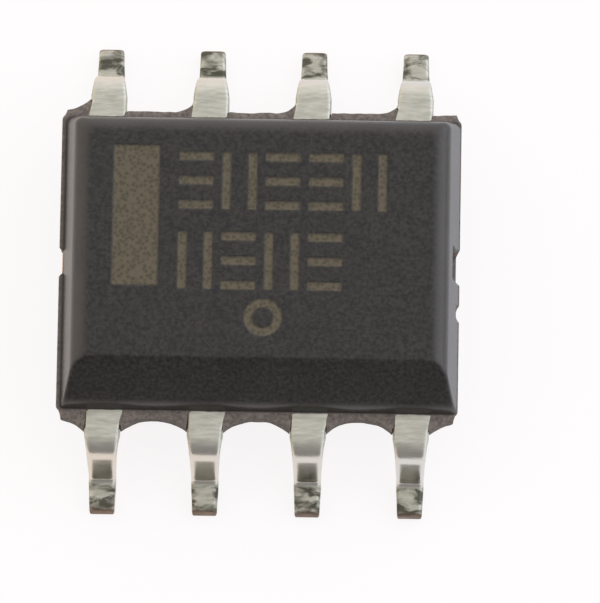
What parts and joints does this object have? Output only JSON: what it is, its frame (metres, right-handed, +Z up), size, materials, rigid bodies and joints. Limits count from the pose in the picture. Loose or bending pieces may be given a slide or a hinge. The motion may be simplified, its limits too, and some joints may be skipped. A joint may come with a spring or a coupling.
{
  "type": "small-outline integrated circuit package",
  "caption": "Narrow small-outline chip: black moulded body with a bevelled long edge and two rows of tinned gull-wing leads, laser-marked at the first pin's end.",
  "frame": {"origin": "centre of the seating plane, midway between the two rows of feet", "axes": "+X along the rows of leads from pin 1 to pin 4, +Y from the row of pins 1 to 4 towards the row of pins 5 to 8, +Z up, away from the board"},
  "size_m": [0.005, 0.006, 0.0016],
  "materials": {
    "moulding_compound": "fine moulded epoxy, matt, laser marks a dull olive grey",
    "matte_tin": "plated matte tin",
    "copper_alloy": "stamped copper alloy sheet",
    "die_adhesive": "cured silver-filled epoxy",
    "silicon": "polished silicon",
    "gold_wire": "drawn gold wire"
  },
  "bodies": {
    "root": {"body": "moulding_compound", "die_pad": "copper_alloy", "die_attach": "die_adhesive", "die": "silicon", "lead_1": "matte_tin", "lead_2": "matte_tin", "lead_3": "matte_tin", "lead_4": "matte_tin", "lead_5": "matte_tin", "lead_6": "matte_tin", "lead_7": "matte_tin", "lead_8": "matte_tin", "bond_wire_1": "gold_wire", "bond_wire_2": "gold_wire", "bond_wire_3": "gold_wire", "bond_wire_4": "gold_wire", "bond_wire_5": "gold_wire", "bond_wire_6": "gold_wire", "bond_wire_7": "gold_wire", "bond_wire_8": "gold_wire"}
  },
  "joints": []
}
